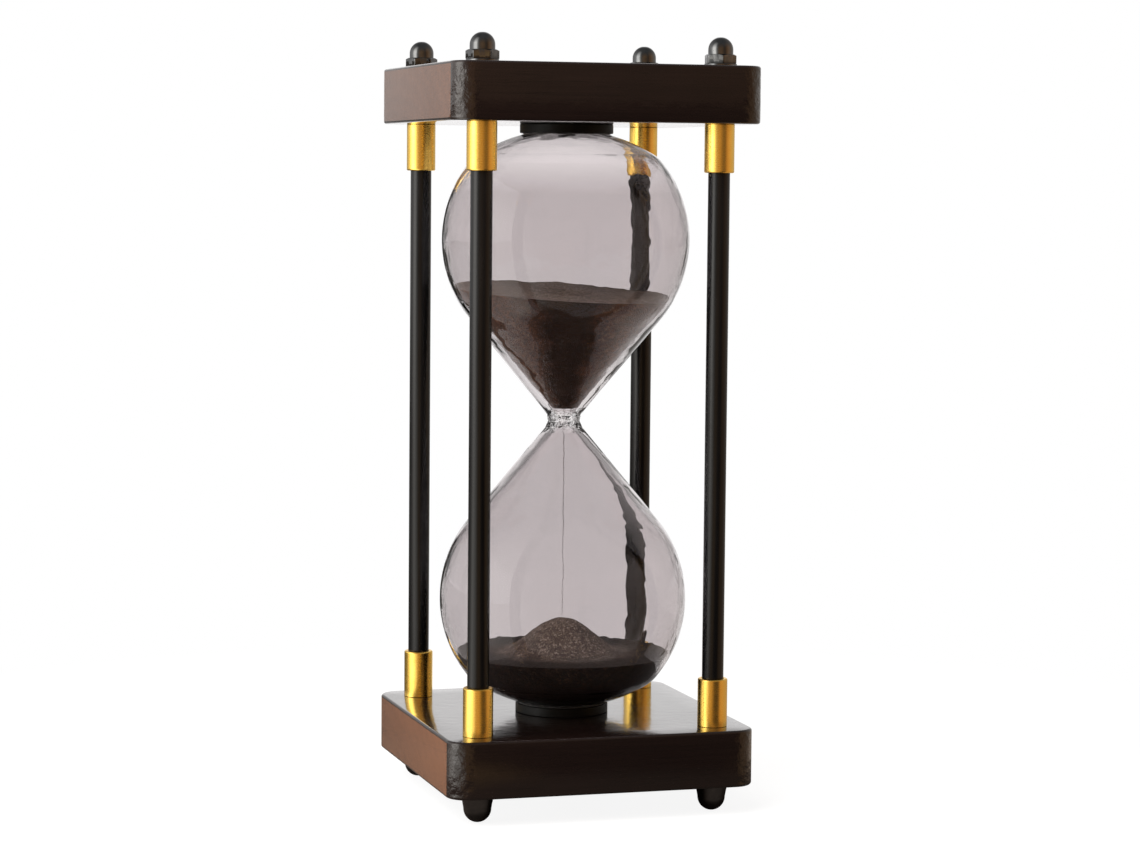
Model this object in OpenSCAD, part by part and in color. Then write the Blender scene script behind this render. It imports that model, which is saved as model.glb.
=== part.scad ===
// Sand timer: a blown glass with a pinched waist, held on end between two square wooden
// plates. Four tie rods run inside black tubes from plate to plate, and a cap nut on each
// end of each rod clamps the frame together. The lower cap nuts are also the feet.
// Origin: centre of the footprint, at the height that the feet stand on. +Z is up.

/* [Plates] */
// Side of each square plate
plate_side = 105; // [100:1:120]
// Thickness of each plate
plate_thickness = 19; // [15:0.5:24]
// Radius of the plate's upright corners
plate_corner = 7.4; // [5:0.2:9]
// Easing along the plate's top and bottom edges
plate_ease = 0.8; // [0.3:0.1:1.5]
// Clear distance between the two plates
plate_gap = 200; // [199:0.5:201]

/* [Columns] */
// Distance between column centres along each side
column_spacing = 81; // [81:0.5:84]
// Outside diameter of the column tube
tube_d = 7.2; // [7:0.1:7.8]
// Wall thickness of the column tube
tube_wall = 1; // [0.8:0.05:1]
// Diameter of the tie rod
rod_d = 5; // [4.6:0.1:5]
// Outside diameter of the brass ferrules
ferrule_d = 9.9; // [9.4:0.1:10.6]
// Length of the brass ferrules
ferrule_length = 16; // [12:0.5:20]

/* [Cap nuts] */
// Width of the hexagon across its flats
nut_flats = 9.6; // [9:0.1:11]
// Height of the hexagon
nut_hex_height = 3; // [2.5:0.1:4]
// Height of the whole nut
nut_height = 8.6; // [8.2:0.1:10]
// Diameter of the domed cap
nut_dome_d = 8.3; // [7.8:0.1:8.8]
// Diameter of the small flat at the dome's tip
nut_tip_d = 2; // [1.6:0.1:2.4]
// Depth of the threaded hole, drawn as a plain bore, also in the feet
nut_bore_depth = 5.4; // [5.2:0.1:5.6]
// Diameter of the washer under the nut
washer_d = 10.8; // [10.6:0.1:12]
// Thickness of the washer
washer_thickness = 0.8; // [0.6:0.1:1.2]

/* [Feet] */
// Diameter of a foot where it meets the washer
foot_top_d = 10.8; // [10:0.1:12]
// Diameter of a foot's round end
foot_dome_d = 9.2; // [8.6:0.1:9.8]

/* [Glass] */
// Largest diameter of each bulb
bulb_d = 84; // [82:0.5:86]
// Height of a bulb's centre above or below the waist
bulb_height = 61; // [60.5:0.5:61.5]
// Thickness of the blown wall
glass_wall = 1.8; // [1.4:0.1:2.2]
// Outside diameter of the waist
waist_d = 11; // [10:0.5:13]
// Diameter of the hole that the sand runs through
orifice_d = 2.4; // [1.8:0.1:3]
// Radius of the shallow dome that closes each bulb
end_dome_r = 56; // [54:1:57]
// Radius that blends a bulb into its end dome
end_blend_r = 14; // [12:1:16]

/* [Seats] */
// Diameter of the black seat that holds each end of the glass
seat_d = 31.6; // [30:0.2:34]
// Gap between a plate and the middle of the glass's end dome
end_gap = 1.4; // [1.3:0.1:1.6]
// Thickness of the soft pad between the seat and the glass
pad_thickness = 0.5; // [0.4:0.1:0.6]
// Diameter of the spigot that centres the seat in its plate
spigot_d = 22; // [18:0.5:26]
// Depth of the spigot in its plate
spigot_depth = 4; // [3:0.5:6]
// Diameter of the stopper in the filling hole
plug_d = 6; // [5:0.5:8]

/* [Sand] */
// Height of the upper sand's surface above the waist
upper_level = 43.4; // [30:0.2:50]
// Slope of the upper sand's surface, in degrees
upper_tilt = 4.1; // [0:0.1:5]
// Direction that the upper surface falls towards, in degrees from +X
upper_tilt_dir = -54; // [-180:2:180]
// Depth of the dimple over the orifice
dimple_depth = 3; // [1:0.5:5]
// Radius of the dimple over the orifice
dimple_r = 15; // [8:1:20]
// Depth of the lower sand's rim below the waist
lower_level = 79.4; // [74:0.1:84]
// Height of the mound above the lower sand's rim
mound_height = 11.5; // [4:0.5:14]
// Radius of the mound's foot
mound_r = 23; // [16:1:28]
// Diameter of the falling stream
stream_d = 0.8; // [0.6:0.1:1]

/* [Hidden] */
$fn = 72;

// Fits and clearances
slide_fit = 0.02;     // radial: ferrule on tube, nut on rod, stopper in glass
rod_clearance = 0.1;  // radial: rod in the plate's holes
sand_clearance = 0.15; // between sand and glass
pad_clearance = 0.03; // between the pad and what it rests against
spigot_play = 0.05;   // radial: spigot in its socket
socket_extra = 0.2;   // socket deeper than the spigot
cut = 1;              // how far a cutter runs past the face that it opens
arc_step = 5;         // degrees of arc per straight step in a turned outline

// Small details
ferrule_chamfer = 0.3;
washer_play = 0.15;
nut_chamfer_angle = 30;
waist_line_ratio = 0.76; // where the outer cone would reach the waist, against waist_d
bore_line_ratio = 0.4;   // the same for the inner cone, against orifice_d
plug_length = 2.2;
plug_inset = 0.1;
sand_throat = 4.6;       // height above the waist where the packed sand ends
seat_blank = 6;          // height of the seat before it is hollowed
pad_margin = 1;          // the pad stops this far inside the seat's rim
rod_end_gap = 0.4;       // between the rod's end and the bottom of the nut's bore
mound_steps = 14;

// Heights
foot_height = nut_height + washer_thickness;
lower_face = foot_height + plate_thickness;
waist_z = lower_face + plate_gap / 2;
upper_face = lower_face + plate_gap;
dome_z = plate_gap / 2 - end_gap - end_dome_r; // end dome's centre above the waist

// Name of each corner, the quarter that it lies in, and how far its upper nut is turned
CORNERS = [
    ["front_left", [-1, -1], 12],
    ["front_right", [1, -1], -9],
    ["back_left", [-1, 1], 21],
    ["back_right", [1, 1], 3]
];
CORNER_PARTS = [
    "column_tube", "tie_rod",
    "upper_ferrule", "lower_ferrule",
    "upper_washer", "lower_washer",
    "upper_cap_nut", "lower_cap_nut"
];
CENTRE_PARTS = [
    "top_plate", "bottom_plate", "glass_bulb", "fill_plug",
    "upper_seat", "lower_seat", "upper_pad", "lower_pad",
    "upper_sand", "lower_sand", "sand_stream"
];

// ---------- outlines ----------

// Points on an arc about [x, z], from angle a to angle b, no more than arc_step apart
function arc(x, z, r, a, b) =
    let (n = max(1, ceil(abs(b - a) / arc_step)))
    [for (i = [0:n]) [x + r * cos(a + (b - a) * i / n), z + r * sin(a + (b - a) * i / n)]];

// Half-angle of the cone that touches a sphere at height h and meets the waist plane at radius line
function cone_angle(line, sphere_r, h) = asin(sphere_r / norm([line, h])) - atan(line / h);

// Radius of the fillet between that cone and a waist of radius r
function waist_fillet(line, r, angle) = (r - line) * cos(angle) / (1 - cos(angle));

// Outline of the upper half of the glass, from the waist to the axis, set in from the outer
// surface by d. The waist has radius r, and the cone is aimed at radius line there.
function half_outline(d, r, line) =
    let (
        sphere_r = bulb_d / 2,
        angle = cone_angle(line, sphere_r - d, bulb_height),
        fillet = waist_fillet(line, r, angle),
        drop = bulb_height - dome_z,
        near = sphere_r - end_blend_r,
        far = end_dome_r - end_blend_r,
        rise = (far * far - near * near + drop * drop) / (2 * drop),
        blend_x = sqrt(far * far - rise * rise),
        blend_z = dome_z + rise,
        to_blend = atan2(blend_z - bulb_height, blend_x),
        to_dome = atan2(rise, blend_x)
    )
    concat(
        arc(r + fillet, 0, fillet, 180, 180 - angle),
        arc(0, bulb_height, sphere_r - d, -angle, to_blend),
        arc(blend_x, blend_z, end_blend_r - d, to_blend, to_dome),
        arc(0, dome_z, end_dome_r - d, to_dome, 90)
    );

// The same outline below the waist, run from the axis back to the waist
function flipped(points) = [for (i = [len(points) - 1:-1:1]) [points[i][0], -points[i][1]]];

function reversed(points) = [for (i = [len(points) - 1:-1:0]) points[i]];

function outer_outline() =
    half_outline(0, waist_d / 2, waist_line_ratio * waist_d / 2);

function inner_outline(clearance = 0) =
    half_outline(glass_wall + clearance, orifice_d / 2 - clearance,
                 bore_line_ratio * (orifice_d / 2 - clearance));

// Height of the lower sand's surface at radius r, measured from its rim
function mound(r) = r < mound_r ? mound_height * (1 + cos(180 * r / mound_r)) / 2 : 0;

// ---------- wooden plates ----------

module plate_blank() {
    half = plate_side / 2 - plate_corner;
    hull() {
        for (x = [-half, half], y = [-half, half]) {
            translate([x, y, 0])
                cylinder(r = plate_corner - plate_ease, h = plate_thickness);
            translate([x, y, plate_ease])
                cylinder(r = plate_corner, h = plate_thickness - 2 * plate_ease);
        }
    }
}

// A plate with its seat socket in the upper face and its four rod holes
module plate() {
    difference() {
        plate_blank();
        for (corner = CORNERS)
            at_corner(corner)
                translate([0, 0, -cut])
                    cylinder(d = rod_d + 2 * rod_clearance, h = plate_thickness + 2 * cut);
        translate([0, 0, plate_thickness - spigot_depth - socket_extra])
            cylinder(d = spigot_d + 2 * spigot_play, h = spigot_depth + socket_extra + cut);
    }
}

module at_corner(corner) {
    translate(column_spacing / 2 * corner[1])
        children();
}

// Turns a part of the lower half into its twin in the upper half
module above_waist() {
    translate([0, 0, 2 * waist_z])
        mirror([0, 0, 1])
            children();
}

module bottom_plate() {
    color("#2a1b18")
        translate([0, 0, foot_height])
            plate();
}

module top_plate() {
    color("#2a1b18")
        above_waist()
            translate([0, 0, foot_height])
                plate();
}

// ---------- columns ----------

module column_tube() {
    color("#1d1f22")
        translate([0, 0, lower_face])
            difference() {
                cylinder(d = tube_d, h = plate_gap);
                translate([0, 0, -cut])
                    cylinder(d = tube_d - 2 * tube_wall, h = plate_gap + 2 * cut);
            }
}

// Threaded rod from the lower nut to the upper nut, drawn at its outside diameter
module tie_rod() {
    reach = nut_bore_depth - rod_end_gap;
    color("#9a9c9e")
        translate([0, 0, foot_height - washer_thickness - reach])
            cylinder(d = rod_d, h = plate_gap + 2 * (plate_thickness + washer_thickness + reach));
}

module lower_ferrule() {
    inner = tube_d / 2 + slide_fit;
    outer = ferrule_d / 2;
    color("#d9a53c")
        translate([0, 0, lower_face])
            rotate_extrude()
                polygon([
                    [inner, 0],
                    [outer, 0],
                    [outer, ferrule_length - ferrule_chamfer],
                    [outer - ferrule_chamfer, ferrule_length],
                    [inner, ferrule_length]
                ]);
}

module lower_washer() {
    color("#26282b")
        translate([0, 0, nut_height])
            difference() {
                cylinder(d = washer_d, h = washer_thickness);
                translate([0, 0, -cut])
                    cylinder(d = rod_d + 2 * washer_play, h = washer_thickness + 2 * cut);
            }
}

// Height of a dome's widest ring above its tip flat
function tip_drop(dome_r) = sqrt(pow(dome_r, 2) - pow(nut_tip_d / 2, 2));

// Half of a dome's outline, from the edge of its tip flat up to its widest ring
function dome_outline(dome_r) =
    arc(0, tip_drop(dome_r), dome_r, -acos(nut_tip_d / 2 / dome_r), 0);

// Blind bore for the rod, open at the nut's upper face
module rod_bore() {
    translate([0, 0, nut_height - nut_bore_depth])
        cylinder(d = rod_d + 2 * slide_fit, h = nut_bore_depth + cut);
}

// Foot threaded on the rod's lower end: a round end that flares up to the washer
module lower_cap_nut() {
    dome_r = foot_dome_d / 2;
    color("#26282b")
        difference() {
            rotate_extrude()
                polygon(concat(
                    [[0, nut_height], [0, 0]],
                    dome_outline(dome_r),
                    [[foot_top_d / 2, nut_height]]
                ));
            rod_bore();
        }
}

// Hexagonal cap nut, drawn with its dome pointing down
module hex_cap_nut() {
    dome_r = nut_dome_d / 2;
    hex_r = nut_flats / sqrt(3);
    hex_z = nut_height - nut_hex_height;
    chamfer = (hex_r - nut_flats / 2) * tan(nut_chamfer_angle);
    difference() {
        union() {
            rotate_extrude()
                polygon(concat(
                    [[0, hex_z + chamfer], [0, 0]],
                    dome_outline(dome_r),
                    [[dome_r, hex_z + chamfer]]
                ));
            intersection() {
                translate([0, 0, hex_z])
                    cylinder(r = hex_r, h = nut_hex_height, $fn = 6);
                rotate_extrude()
                    polygon([
                        [0, hex_z],
                        [nut_flats / 2, hex_z],
                        [hex_r + cut, hex_z + chamfer + cut * tan(nut_chamfer_angle)],
                        [hex_r + cut, nut_height],
                        [0, nut_height]
                    ]);
            }
        }
        rod_bore();
    }
}

module upper_ferrule() {
    above_waist() lower_ferrule();
}

module upper_washer() {
    above_waist() lower_washer();
}

module upper_cap_nut() {
    color("#26282b")
        above_waist()
            hex_cap_nut();
}

// ---------- glass and its seats ----------

module glass_bulb() {
    outer = outer_outline();
    inner = inner_outline();
    color("#b9adad", 0.35)
        translate([0, 0, waist_z])
            difference() {
                rotate_extrude()
                    polygon(concat(flipped(outer), outer, reversed(inner), reversed(flipped(inner))));
                translate([0, 0, bulb_height])
                    cylinder(d = plug_d, h = plate_gap);
            }
}

// Stopper that closes the filling hole in the upper end of the glass
module fill_plug() {
    color("#1c1c1c")
        translate([0, 0, upper_face - end_gap - plug_inset - plug_length])
            cylinder(d = plug_d - 2 * slide_fit, h = plug_length);
}

// Black cup glued into the lower plate, hollowed to the shape of the glass's end dome
module lower_seat() {
    color("#141414")
        difference() {
            union() {
                translate([0, 0, lower_face])
                    cylinder(d = seat_d, h = seat_blank);
                translate([0, 0, lower_face - spigot_depth])
                    cylinder(d = spigot_d, h = spigot_depth);
            }
            translate([0, 0, waist_z - dome_z])
                sphere(r = end_dome_r + pad_thickness + pad_clearance);
        }
}

// Soft pad between the seat and the glass
module lower_pad() {
    color("#2b2b2b")
        translate([0, 0, waist_z - dome_z])
            difference() {
                intersection() {
                    sphere(r = end_dome_r + pad_thickness);
                    translate([0, 0, -2 * end_dome_r])
                        cylinder(d = seat_d - 2 * pad_margin, h = 2 * end_dome_r);
                }
                sphere(r = end_dome_r + pad_clearance);
            }
}

module upper_seat() {
    above_waist() lower_seat();
}

module upper_pad() {
    above_waist() lower_pad();
}

// ---------- sand ----------

// Packed sand in the upper cone, with a sloping surface and a dimple over the orifice
module upper_sand() {
    space = inner_outline(sand_clearance);
    color("#4a3a30")
        translate([0, 0, waist_z])
            difference() {
                rotate_extrude()
                    polygon(concat([[0, 0]], space));
                cylinder(r = waist_d, h = 2 * sand_throat, center = true);
                translate([0, 0, upper_level])
                    rotate([0, 0, upper_tilt_dir])
                        rotate([0, upper_tilt, 0]) {
                            cylinder(r = bulb_d, h = bulb_d);
                            translate([0, 0, -dimple_depth])
                                cylinder(r1 = 0, r2 = dimple_r, h = dimple_depth);
                        }
            }
}

// Heap in the lower bulb, level at its rim and mounded under the orifice
module lower_sand() {
    space = inner_outline(sand_clearance);
    below = [for (p = flipped(space)) if (p[1] < -lower_level) p];
    rim_r = sqrt(pow(bulb_d / 2 - glass_wall - sand_clearance, 2) - pow(lower_level - bulb_height, 2));
    color("#4f433b")
        translate([0, 0, waist_z])
            rotate_extrude()
                polygon(concat(
                    below,
                    [[rim_r, -lower_level]],
                    [for (i = [mound_steps:-1:0])
                        let (r = mound_r * i / mound_steps)
                        [r, mound(r) - lower_level]]
                ));
}

// Thin stream from the orifice to the top of the mound
module sand_stream() {
    foot = mound_height - lower_level;
    color("#4f433b")
        translate([0, 0, waist_z + foot])
            cylinder(d = stream_d, h = sand_throat - foot);
}

// ---------- drawing ----------

module corner_part(name, turn) {
    if (name == "column_tube") column_tube();
    if (name == "tie_rod") tie_rod();
    if (name == "upper_ferrule") upper_ferrule();
    if (name == "lower_ferrule") lower_ferrule();
    if (name == "upper_washer") upper_washer();
    if (name == "lower_washer") lower_washer();
    if (name == "upper_cap_nut") rotate([0, 0, turn]) upper_cap_nut();
    if (name == "lower_cap_nut") lower_cap_nut();
}

top_plate();
bottom_plate();
glass_bulb();
fill_plug();
upper_seat();
lower_seat();
upper_pad();
lower_pad();
upper_sand();
lower_sand();
sand_stream();
for (part = CORNER_PARTS, corner = CORNERS)
    at_corner(corner)
            corner_part(part, corner[2]);
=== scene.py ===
import math
import random

import bmesh
import bpy
from mathutils import Matrix, Vector, noise


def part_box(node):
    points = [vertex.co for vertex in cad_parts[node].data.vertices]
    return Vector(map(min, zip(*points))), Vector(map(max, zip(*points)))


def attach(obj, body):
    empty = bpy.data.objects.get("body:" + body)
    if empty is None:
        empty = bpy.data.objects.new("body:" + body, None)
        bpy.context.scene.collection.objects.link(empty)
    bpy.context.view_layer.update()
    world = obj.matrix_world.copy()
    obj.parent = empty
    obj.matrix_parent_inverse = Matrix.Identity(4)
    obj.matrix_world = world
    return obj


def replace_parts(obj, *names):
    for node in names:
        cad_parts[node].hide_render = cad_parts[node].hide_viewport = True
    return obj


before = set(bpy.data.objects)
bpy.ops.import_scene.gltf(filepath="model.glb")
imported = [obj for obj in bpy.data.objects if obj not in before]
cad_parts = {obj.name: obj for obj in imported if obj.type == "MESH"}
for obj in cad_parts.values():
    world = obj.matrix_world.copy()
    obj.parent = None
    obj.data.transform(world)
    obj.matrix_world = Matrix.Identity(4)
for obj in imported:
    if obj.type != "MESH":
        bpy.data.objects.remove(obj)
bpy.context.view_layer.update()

MM = 0.001
CORNERS = ("front_left", "front_right", "back_left", "back_right")
NUT_TURN = {"front_left": 12, "front_right": -9, "back_left": 21, "back_right": 3}
SMOOTH_ANGLE = math.radians(34)
rng = random.Random(7)


# ---------- sizes read from the frame ----------

def node_box(name):
    lo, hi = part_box(name)
    return lo, hi, (lo + hi) / 2


plate_lo, plate_hi, plate_mid = node_box("bottom_plate")
top_lo, top_hi, _ = node_box("top_plate")
glass_lo, glass_hi, glass_mid = node_box("glass_bulb")
LOWER_FACE = plate_hi.z
UPPER_FACE = top_lo.z
WAIST = (LOWER_FACE + UPPER_FACE) / 2
BULB_R = (glass_hi.x - glass_lo.x) / 2
GLASS_TOP = glass_hi.z
CENTRE = {c: node_box("column_tube_" + c)[2] for c in CORNERS}


# ---------- mesh helpers ----------

def finish_mesh(name, bm, material, smooth=True):
    bmesh.ops.remove_doubles(bm, verts=bm.verts, dist=1e-7)
    bmesh.ops.recalc_face_normals(bm, faces=bm.faces)
    mesh = bpy.data.meshes.new(name)
    bm.to_mesh(mesh)
    bm.free()
    for polygon in mesh.polygons:
        polygon.use_smooth = smooth
    if smooth:
        mesh.set_sharp_from_angle(angle=SMOOTH_ANGLE)
    obj = bpy.data.objects.new(name, mesh)
    bpy.context.scene.collection.objects.link(obj)
    mesh.materials.append(material)
    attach(obj, "root")
    return obj


def skin(bm, rings, closed=False):
    """Joins rings of vertices, each a list of the same length or a single pole, with faces."""
    pairs = list(zip(rings, rings[1:]))
    if closed:
        pairs.append((rings[-1], rings[0]))
    for a, b in pairs:
        n = max(len(a), len(b))
        for i in range(n):
            j = (i + 1) % n
            if len(a) == 1 and len(b) == 1:
                continue
            if len(a) == 1:
                bm.faces.new((a[0], b[j], b[i]))
            elif len(b) == 1:
                bm.faces.new((a[i], a[j], b[0]))
            else:
                bm.faces.new((a[i], a[j], b[j], b[i]))


def ring(bm, centre, radius, height, segments, phase=0.0):
    if radius < 1e-7:
        return [bm.verts.new((centre.x, centre.y, height))]
    return [
        bm.verts.new((
            centre.x + radius * math.cos(phase + math.tau * i / segments),
            centre.y + radius * math.sin(phase + math.tau * i / segments),
            height,
        ))
        for i in range(segments)
    ]


def lathe(bm, outline, centre, segments, closed=False):
    """Revolves an outline of (radius, height) points about the upright axis through centre."""
    skin(bm, [ring(bm, centre, r, z, segments) for r, z in outline], closed)


def arc(x, z, r, a, b, step):
    n = max(1, math.ceil(abs(b - a) / step))
    angles = [math.radians(a + (b - a) * i / n) for i in range(n + 1)]
    return [(x + r * math.cos(t), z + r * math.sin(t)) for t in angles]


def eased(outline, radius, steps=3):
    """Rounds every corner of a closed outline with a small quadratic blend."""
    out = []
    n = len(outline)
    for i in range(n):
        p, q, s = (Vector(outline[k % n]) for k in (i - 1, i, i + 1))
        to_p, to_s = p - q, s - q
        reach = min(radius, to_p.length * 0.45, to_s.length * 0.45)
        a, b = q + to_p.normalized() * reach, q + to_s.normalized() * reach
        for k in range(steps + 1):
            t = k / steps
            out.append(tuple(a * (1 - t) ** 2 + q * 2 * t * (1 - t) + b * t * t))
    return out


def mirrored(outline):
    """The same outline turned over about the waist plane."""
    return [(r, 2 * WAIST - z) for r, z in outline]


# ---------- materials ----------

class Nodes:
    """Adds nodes to a shader tree, linking sockets and setting values in one step."""

    def __init__(self, tree):
        self.tree = tree

    def node(self, kind, inputs=None, **settings):
        made = self.tree.nodes.new(kind)
        for key, value in settings.items():
            setattr(made, key, value)
        for key, value in (inputs or {}).items():
            self.feed(made.inputs[key], value)
        return made

    def feed(self, socket, value):
        if isinstance(value, bpy.types.NodeSocket):
            self.tree.links.new(value, socket)
        else:
            socket.default_value = value

    def noise(self, where, scale, detail=4.0, roughness=0.5, distortion=0.0):
        made = self.node("ShaderNodeTexNoise", {
            "Vector": where, "Scale": scale, "Detail": detail,
            "Roughness": roughness, "Distortion": distortion})
        return made.outputs["Fac"]

    def ramp(self, value, low, high, out_low=0.0, out_high=1.0):
        made = self.node("ShaderNodeMapRange", {
            "Value": value, "From Min": low, "From Max": high,
            "To Min": out_low, "To Max": out_high})
        return made.outputs["Result"]

    def math(self, operation, a, b=0.0):
        return self.node("ShaderNodeMath", {0: a, 1: b}, operation=operation).outputs[0]

    def dot(self, vector, other):
        made = self.node("ShaderNodeVectorMath", {0: vector, 1: other}, operation="DOT_PRODUCT")
        return made.outputs["Value"]

    def mix(self, factor, a, b):
        return self.node("ShaderNodeMix", {0: factor, 6: a, 7: b}, data_type="RGBA").outputs[2]

    def blend(self, factor, a, b):
        made = self.node("ShaderNodeMixShader", {0: factor, 1: a, 2: b})
        return made.outputs["Shader"]

    def bump(self, height, distance, strength=1.0, under=None):
        inputs = {"Height": height, "Distance": distance, "Strength": strength}
        if under is not None:
            inputs["Normal"] = under
        return self.node("ShaderNodeBump", inputs).outputs["Normal"]

    def panorama(self, where, stops):
        """Colour by bearing round the object, from stops of (degrees from straight behind, colour)."""
        bearing = self.math("ARCTAN2", self.dot(where, side), self.dot(where, away))
        turn = self.ramp(bearing, -math.pi, math.pi)
        made = self.node("ShaderNodeValToRGB", {"Fac": turn})
        elements = made.color_ramp.elements
        while len(elements) < len(stops):
            elements.new(0.5)
        for element, (degrees, colour) in zip(elements, stops):
            element.position = (degrees + 180) / 360
            element.color = (*colour, 1)
        return made.outputs["Color"]


class Finish(Nodes):
    """A procedural material."""

    def __init__(self, name):
        self.material = bpy.data.materials.new(name)
        self.material.use_nodes = True
        super().__init__(self.material.node_tree)
        self.shader = self.tree.nodes["Principled BSDF"]
        self.output = self.tree.nodes["Material Output"]

    def place(self, scale=(1, 1, 1), shift=(0, 0, 0)):
        coords = self.node("ShaderNodeTexCoord").outputs["Object"]
        mapping = self.node("ShaderNodeMapping", {"Vector": coords, "Scale": scale, "Location": shift})
        return mapping.outputs["Vector"]

    def set(self, **inputs):
        for key, value in inputs.items():
            self.feed(self.shader.inputs[key.replace("_", " ")], value)
        return self.material


def rgb(r, g, b):
    return (r, g, b, 1.0)


def lacquered_wood(name, low, high, shift, dark, mid, pale):
    """Stained wood under lacquer, with growth rings about an axis along X. The plate's upright
    corners, between the heights low and high, are rougher."""
    f = Finish(name)
    place = f.place(shift=shift)
    bent = f.node("ShaderNodeVectorMath", {0: place, 1: (0.0, -0.045, 0.05)}, operation="ADD").outputs[0]
    rings = f.node("ShaderNodeTexWave", {
        "Vector": bent, "Scale": 55.0, "Distortion": 3.2, "Detail": 3.0,
        "Detail Scale": 0.9, "Detail Roughness": 0.6},
        wave_type="RINGS", rings_direction="X").outputs["Fac"]
    fibre = f.noise(f.place((30, 1500, 1500), shift), 1.0, 5, 0.62, 0.3)
    pores = f.noise(f.place((60, 2600, 2600), shift), 1.0, 2, 0.5)
    stain = f.noise(place, 22, 4, 0.6)
    grain = f.mix(f.ramp(rings, 0.15, 0.95, 0.0, 0.26), rgb(*mid), rgb(*dark))
    grain = f.mix(f.ramp(fibre, 0.35, 0.68, 0.0, 0.55), grain, rgb(*pale))
    grain = f.mix(f.ramp(stain, 0.35, 0.75, 0.0, 0.6), grain, rgb(*dark))
    grain = f.mix(f.ramp(pores, 0.60, 0.72, 0.0, 0.7), grain, rgb(*(0.4 * v for v in dark)))
    rough = f.math("ADD", f.ramp(stain, 0.3, 0.8, 0.17, 0.28), f.ramp(pores, 0.55, 0.75, 0.0, 0.12))
    ripple = f.noise(f.place((1, 1, 0.9), shift), 260, 2, 0.5)
    split = f.node("ShaderNodeSeparateXYZ", {0: f.place()})
    reach = [f.math("ABSOLUTE", split.outputs[k]) for k in ("X", "Y")]
    corner = f.math("MULTIPLY", *(f.ramp(r, 0.0440, 0.0475) for r in reach))
    half = (high - low) / 2
    off_middle = f.math("ABSOLUTE", f.math("SUBTRACT", split.outputs["Z"], low + half))
    corner = f.math("MULTIPLY", corner, f.ramp(off_middle, half - 0.0018, half - 0.0008, 1.0, 0.0))
    fine = f.noise(place, 1500, 2, 0.5)
    ripple = f.math("ADD", f.math("SUBTRACT", ripple, 0.58), f.math("MULTIPLY", fine, 0.16))
    ripple = f.math("MULTIPLY", ripple, f.math("ADD", f.math("MULTIPLY", corner, 0.93), 0.07))
    uneven = f.bump(ripple, 0.0009, 0.8)
    normal = f.bump(f.math("MULTIPLY", pores, -1.0), 0.00002, 0.5, uneven)
    return f.set(Base_Color=grain, Roughness=rough, Normal=normal, IOR=1.36,
                 Coat_Weight=1.0, Coat_IOR=1.35, Coat_Roughness=0.085, Coat_Normal=uneven)


def satin_paint(name):
    """Black paint with a slight orange peel, rubbed along the tube, and a little dust."""
    f = Finish(name)
    place = f.place()
    peel = f.noise(place, 1500, 3, 0.55)
    wear = f.noise(f.place((1, 1, 0.12)), 210, 5, 0.62)
    dust = f.noise(place, 5200, 2, 0.5)
    colour = f.mix(f.ramp(wear, 0.35, 0.75), rgb(0.0020, 0.0021, 0.0024), rgb(0.0045, 0.0047, 0.0053))
    colour = f.mix(f.ramp(dust, 0.66, 0.80, 0.0, 0.35), colour, rgb(0.03, 0.03, 0.031))
    return f.set(Base_Color=colour, Roughness=f.ramp(wear, 0.3, 0.8, 0.20, 0.31),
                 Normal=f.bump(peel, 0.00003, 0.55), IOR=1.38)


def polished_brass(name):
    """Brass with fine turning lines, smudges and a start of tarnish."""
    f = Finish(name)
    place = f.place()
    turned = f.noise(f.place((40, 40, 9000)), 1.0, 3, 0.6)
    smudge = f.noise(place, 240, 4, 0.6)
    tarnish = f.noise(place, 700, 5, 0.65)
    colour = f.mix(f.ramp(smudge, 0.35, 0.75), rgb(1.0, 0.66, 0.145), rgb(0.97, 0.62, 0.125))
    colour = f.mix(f.ramp(tarnish, 0.60, 0.80, 0.0, 0.5), colour, rgb(0.82, 0.43, 0.06))
    rough = f.math("ADD", f.ramp(smudge, 0.3, 0.8, 0.235, 0.31), f.ramp(turned, 0.3, 0.7, -0.01, 0.02))
    return f.set(Base_Color=colour, Metallic=1.0, Roughness=rough, Normal=f.bump(turned, 0.000003, 0.4))


def black_nickel(name):
    """Dark bright plating with smudges and fine scratches."""
    f = Finish(name)
    place = f.place()
    smudge = f.noise(place, 420, 4, 0.6)
    scratch = f.noise(f.place((900, 900, 6000)), 1.0, 3, 0.6)
    colour = f.mix(f.ramp(smudge, 0.35, 0.75), rgb(0.110, 0.113, 0.116), rgb(0.160, 0.161, 0.161))
    rough = f.math("ADD", f.ramp(smudge, 0.3, 0.8, 0.05, 0.09), f.ramp(scratch, 0.4, 0.7, 0.0, 0.03))
    return f.set(Base_Color=colour, Metallic=1.0, Roughness=rough, Normal=f.bump(scratch, 0.000006, 0.4))


def bright_steel(name):
    """Plain drawn steel."""
    f = Finish(name)
    drawn = f.noise(f.place((3000, 3000, 60)), 1.0, 4, 0.6)
    colour = f.mix(f.ramp(drawn, 0.3, 0.7), rgb(0.44, 0.44, 0.45), rgb(0.60, 0.60, 0.61))
    return f.set(Base_Color=colour, Metallic=1.0, Roughness=f.ramp(drawn, 0.3, 0.7, 0.24, 0.38),
                 Normal=f.bump(drawn, 0.00001, 0.4))


def moulded_black(name):
    """Matt moulded black with dust in its texture."""
    f = Finish(name)
    place = f.place()
    fine = f.noise(place, 2600, 3, 0.6)
    dust = f.noise(place, 420, 5, 0.65)
    dusty = f.ramp(dust, 0.4, 0.8, 0.0, 0.8)
    colour = f.mix(dusty, rgb(0.0030, 0.0032, 0.0030), rgb(0.0100, 0.0100, 0.0096))
    return f.set(Base_Color=colour, Roughness=f.ramp(dust, 0.3, 0.75, 0.38, 0.56),
                 Normal=f.bump(fine, 0.00004, 0.45), IOR=1.22)


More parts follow.
